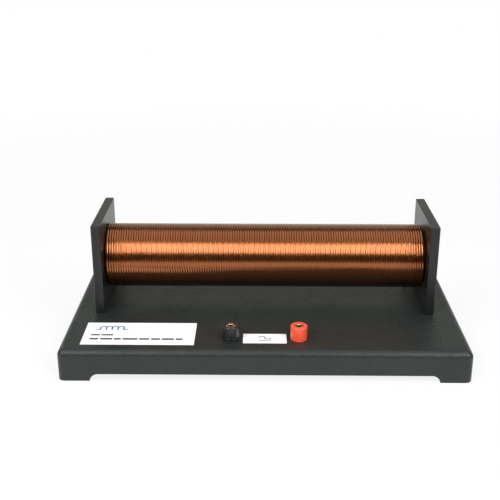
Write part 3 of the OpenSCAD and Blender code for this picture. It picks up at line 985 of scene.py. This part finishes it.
def make_stud(colour, place):
    """Stud with its plug socket, clamping flange and threads."""
    low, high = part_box(f"{colour}_stud")
    cap_low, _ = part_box(f"{colour}_cap")
    flange_r = (high.x - low.x) / 2
    flange_top = cap_low.z
    flange_low = flange_top - FLANGE_THICKNESS
    core = STUD_RADIUS - CORE_DEPTH
    shank_core = SHANK_RADIUS - CORE_DEPTH
    shank_low = low.z + STUD_CHAMFER
    socket_end = high.z - SOCKET_LENGTH
    relief_end = socket_end - RELIEF_LENGTH
    neck = high.z - STUD_RIM
    bm = turned([
        (0, relief_end - DRILL_TIP), (RELIEF_RADIUS, relief_end), (RELIEF_RADIUS, socket_end),
        (SOCKET_RADIUS, socket_end), (SOCKET_RADIUS, high.z - STUD_CHAMFER),
        (SOCKET_RADIUS + STUD_CHAMFER, high.z), (STUD_RADIUS - STUD_RIM_ROUND, high.z),
        (STUD_RADIUS, high.z - STUD_RIM_ROUND), (STUD_RADIUS, neck), (core, neck - STUD_CHAMFER),
        (core, flange_top), (flange_r, flange_top), (flange_r, flange_low), (shank_core, flange_low),
        (shank_core, shank_low), (shank_core - STUD_CHAMFER, low.z), (0, low.z),
    ], POST_ROUND)
    soften(bm, STUD_EDGE, 2, 70)
    threads = [thread(STUD_RADIUS, flange_top, neck), thread(SHANK_RADIUS, shank_low, flange_low)]
    stud = object_of(f"{colour}_threaded_stud", moved(joined([bm] + threads), place))
    dress(stud, nickel, [f"{colour}_stud"])


def make_collar(colour, place, plastic):
    """Insulating collar with its neck in the tray."""
    low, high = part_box(f"{colour}_collar")
    stud_low, stud_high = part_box(f"{colour}_stud")
    radius = (high.x - low.x) / 2
    seat_r = (stud_high.x - stud_low.x) / 2 + SHANK_PLAY
    seat_z = high.z - FLANGE_THICKNESS
    bore_r = SHANK_RADIUS + SHANK_PLAY
    neck_r = bore_r + COLLAR_NECK
    bm = turned([
        (bore_r, low.z), (neck_r, low.z), (neck_r, tray_top), (radius, tray_top), (radius, high.z),
        (seat_r, high.z), (seat_r, seat_z), (bore_r, seat_z),
    ], POST_ROUND)
    soften(bm, MOULDED_EDGE, 3)
    collar = object_of(f"{colour}_post_collar", moved(bm, place))
    dress(collar, plastic, [f"{colour}_collar"])


def make_washer(colour, place):
    """Insulating washer under the tray's top."""
    low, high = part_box(f"{colour}_washer")
    radius = (high.x - low.x) / 2
    bore = SHANK_RADIUS + SHANK_PLAY
    bm = turned([(bore, low.z), (radius, low.z), (radius, high.z), (bore, high.z)])
    soften(bm, MOULDED_EDGE)
    washer = object_of(f"{colour}_post_washer", moved(bm, place))
    dress(washer, black_plastic, [f"{colour}_washer"])


def make_nut(node, place):
    """Hexagon nut with its corners turned down."""
    low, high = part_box(node)
    across_corners = max(high.x - low.x, high.y - low.y)
    bm = cylinder(across_corners / 2, low.z, high.z, 6)
    bmesh.ops.bevel(
        bm, geom=bm.verts[:], offset=NUT_CORNER, offset_type="OFFSET", segments=1, profile=0.5,
        affect="VERTICES", clamp_overlap=True, material=-1,
    )
    nut = object_of(f"{node}_hexagon", moved(bm, place))
    carve(nut, [moved(cylinder(SHANK_RADIUS + NUT_PLAY, 0, tray_top), place)])
    break_edges(nut, NUT_EDGE)
    dress(nut, brass, [node])


def make_terminals():
    """Both screw terminals, from the cap down to the locknut."""
    for colour, place in post_places().items():
        plastic = black_plastic if colour == "black" else red_plastic
        make_cap(colour, place, plastic)
        make_stud(colour, place)
        make_collar(colour, place, plastic)
        make_washer(colour, place)
        make_nut(f"{colour}_nut", place)
        make_nut(f"{colour}_locknut", place)
        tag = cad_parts[f"{colour}_solder_tag"]
        for holder in tag.material_slots:
            holder.material = brass


make_tray()
make_ribs()
make_end_plate("left")
make_end_plate("right")
make_plate_screws()
make_former()
make_inner_layers()
make_outer_layer()
make_leads()
make_grommets()
make_label("name_label")
make_label("rating_label")
make_name_print()
make_rating_print()
make_terminals()


# Studio

LENS = 63.534
CAMERA_PLACE = Vector((-4.821, -638.939, 319.023)) * MM
CAMERA_DOWN = math.radians(21.106)
CAMERA_YAW = math.radians(-0.601)
CAMERA_ROLL = math.radians(-0.048)

LAMP_DISTANCE = 1.2
SIDE_AZIMUTH = 43
SIDE_ELEVATION = 39
SIDE_SIZE = (0.64, 0.74)
SIDE_LEVEL = 6.6
OVERHEAD_ELEVATION = 97
OVERHEAD_SIZE = (1.6, 1.14)
OVERHEAD_LEVEL = 0.95
ROOM_LEVEL = 0.2
TABLE_HALF_SIZE = (2.5, 1.08, 1)
TABLE_MIDDLE = (0, 0.58, 0)
SHADOW_NEAR = 0.3
SHADOW_FAR = 0.9
WALL_HEIGHT = 1.5
WALL_HALF_SIZE = (1.35, 1, WALL_HEIGHT / 2)
WALL_MIDDLE = (0, 1.66, WALL_HEIGHT / 2)
CURTAIN_DISTANCE = 3
CURTAIN_RISE = math.radians(42)
CURTAIN_LEVEL = 0.04


def place_camera():
    """Camera at the photograph's place."""
    right = Vector((math.cos(CAMERA_YAW), -math.sin(CAMERA_YAW), 0))
    ahead = Vector((
        math.sin(CAMERA_YAW) * math.cos(CAMERA_DOWN), math.cos(CAMERA_YAW) * math.cos(CAMERA_DOWN),
        -math.sin(CAMERA_DOWN),
    ))
    up = right.cross(ahead)
    roll = Matrix.Rotation(CAMERA_ROLL, 3, ahead)
    data = bpy.data.cameras.new("camera")
    data.lens = LENS
    data.sensor_width = 36
    camera = bpy.data.objects.new("camera", data)
    bpy.context.scene.collection.objects.link(camera)
    turn = Matrix((roll @ right, roll @ up, -ahead)).transposed()
    camera.matrix_world = Matrix.Translation(CAMERA_PLACE) @ turn.to_4x4()
    bpy.context.scene.camera = camera


def add_softbox(name, azimuth, elevation, width, height, level):
    """Rectangular lamp of a given brightness, aimed at the coil. The azimuth counts from the front."""
    data = bpy.data.lights.new(name, "AREA")
    data.shape = "RECTANGLE"
    data.size = width
    data.size_y = height
    data.energy = math.pi * level * width * height
    lamp = bpy.data.objects.new(name, data)
    bpy.context.scene.collection.objects.link(lamp)
    side = math.radians(azimuth)
    up = math.radians(elevation)
    towards = Vector((math.sin(side) * math.cos(up), -math.cos(side) * math.cos(up), math.sin(up)))
    lamp.location = coil_axis + towards * LAMP_DISTANCE
    lamp.rotation_euler = (coil_axis - lamp.location).to_track_quat("-Z", "Y").to_euler()
    lamp.visible_camera = False


def seen_as_background(tree):
    """Output that is 1 for rays from the camera, off gloss and through glass, which show the background."""
    path = tree.nodes.new("ShaderNodeLightPath")
    seen = path.outputs["Is Camera Ray"]
    for kind in ("Is Glossy Ray", "Is Transmission Ray"):
        either = tree.nodes.new("ShaderNodeMath")
        either.operation = "MAXIMUM"
        tree.links.new(seen, either.inputs[0])
        tree.links.new(path.outputs[kind], either.inputs[1])
        seen = either.outputs[0]
    return seen


def table_card(near, far):
    """White card that shows shadows, less and less from the near distance to the far one."""
    finish = Finish("table_card", {
        "Base Color": (0.85, 0.85, 0.85, 1), "Roughness": 0.9, "Specular IOR Level": 0.1,
    })
    distance = finish.add("ShaderNodeVectorMath", {0: finish.place}, operation="LENGTH")
    glow = finish.add("ShaderNodeMapRange", {
        "Value": distance.outputs["Value"],
        "From Min": near, "From Max": far, "To Min": 0.85, "To Max": 1.0,
    })
    seen = seen_as_background(finish.tree)
    share = finish.add("ShaderNodeMath", {0: seen, 1: glow.outputs[0]}, operation="MULTIPLY")
    white = finish.add("ShaderNodeEmission", {"Color": (1, 1, 1, 1), "Strength": 1.0})
    mix = finish.add(
        "ShaderNodeMixShader", {0: share.outputs[0], 1: finish.shader.outputs[0], 2: white.outputs[0]}
    )
    output = finish.tree.nodes["Material Output"]
    finish.tree.links.new(mix.outputs[0], output.inputs["Surface"])
    return finish.material


def wall_card():
    """Plain pale card."""
    finish = Finish("wall_card", {"Roughness": 0.9, "Specular IOR Level": 0.1})
    finish.colour(finish.grain(60 * MM), (0.84, 0.84, 0.73), (0.88, 0.88, 0.77))
    return finish.material


def add_stage():
    """Pale table that ends in front of the object, and a pale wall behind it that the camera doesn't see."""
    table = bmesh.new()
    bmesh.ops.create_grid(table, x_segments=1, y_segments=1, size=1)
    bmesh.ops.scale(table, vec=TABLE_HALF_SIZE, verts=table.verts)
    bmesh.ops.translate(table, vec=TABLE_MIDDLE, verts=table.verts)
    wall = bmesh.new()
    bmesh.ops.create_grid(wall, x_segments=1, y_segments=1, size=1)
    upright = Matrix.Rotation(math.pi / 2, 3, "X")
    bmesh.ops.rotate(wall, cent=(0, 0, 0), matrix=upright, verts=wall.verts)
    bmesh.ops.scale(wall, vec=WALL_HALF_SIZE, verts=wall.verts)
    bmesh.ops.translate(wall, vec=WALL_MIDDLE, verts=wall.verts)
    cards = (("table", table, table_card(SHADOW_NEAR, SHADOW_FAR)), ("wall", wall, wall_card()))
    for name, bm, material in cards:
        card = object_of(name, bm)
        card.data.materials.append(material)
        card.visible_camera = name == "table"


def add_dark_curtain():
    """Dark cloth overhead and on the camera's side, open to the background, that only reflections show."""
    cloth = Finish("dark_cloth", {
        "Roughness": 0.95, "Specular IOR Level": 0.1,
        "Emission Color": (1, 1, 1, 1), "Emission Strength": CURTAIN_LEVEL,
    })
    cloth.colour(cloth.grain(30 * MM), (0.05, 0.05, 0.05), (0.07, 0.07, 0.07))
    bm = bmesh.new()
    bmesh.ops.create_uvsphere(bm, u_segments=64, v_segments=48, radius=CURTAIN_DISTANCE)
    bmesh.ops.bisect_plane(
        bm, geom=bm.verts[:] + bm.edges[:] + bm.faces[:], plane_co=coil_axis,
        plane_no=(0, math.sin(CURTAIN_RISE), -math.cos(CURTAIN_RISE)), clear_outer=True,
    )
    curtain = object_of("curtain", bm)
    curtain.data.materials.append(cloth.material)
    curtain.visible_camera = False
    curtain.visible_diffuse = False
    curtain.visible_shadow = False


def light_room():
    """White surround for the camera and for reflections, and a dim even room for everything else."""
    world = bpy.data.worlds.new("room")
    bpy.context.scene.world = world
    world.use_nodes = True
    nodes = world.node_tree.nodes
    links = world.node_tree.links
    level = nodes.new("ShaderNodeMapRange")
    level.inputs["To Min"].default_value = ROOM_LEVEL
    level.inputs["To Max"].default_value = 1.0
    links.new(seen_as_background(world.node_tree), level.inputs["Value"])
    links.new(level.outputs[0], nodes["Background"].inputs["Strength"])
    nodes["Background"].inputs["Color"].default_value = (1, 1, 1, 1)


place_camera()
add_softbox("left_softbox", -SIDE_AZIMUTH, SIDE_ELEVATION, *SIDE_SIZE, SIDE_LEVEL)
add_softbox("right_softbox", SIDE_AZIMUTH, SIDE_ELEVATION, *SIDE_SIZE, SIDE_LEVEL)
add_softbox("overhead_softbox", 0, OVERHEAD_ELEVATION, *OVERHEAD_SIZE, OVERHEAD_LEVEL)
add_stage()
add_dark_curtain()
light_room()
bpy.context.scene.view_settings.view_transform = "Standard"
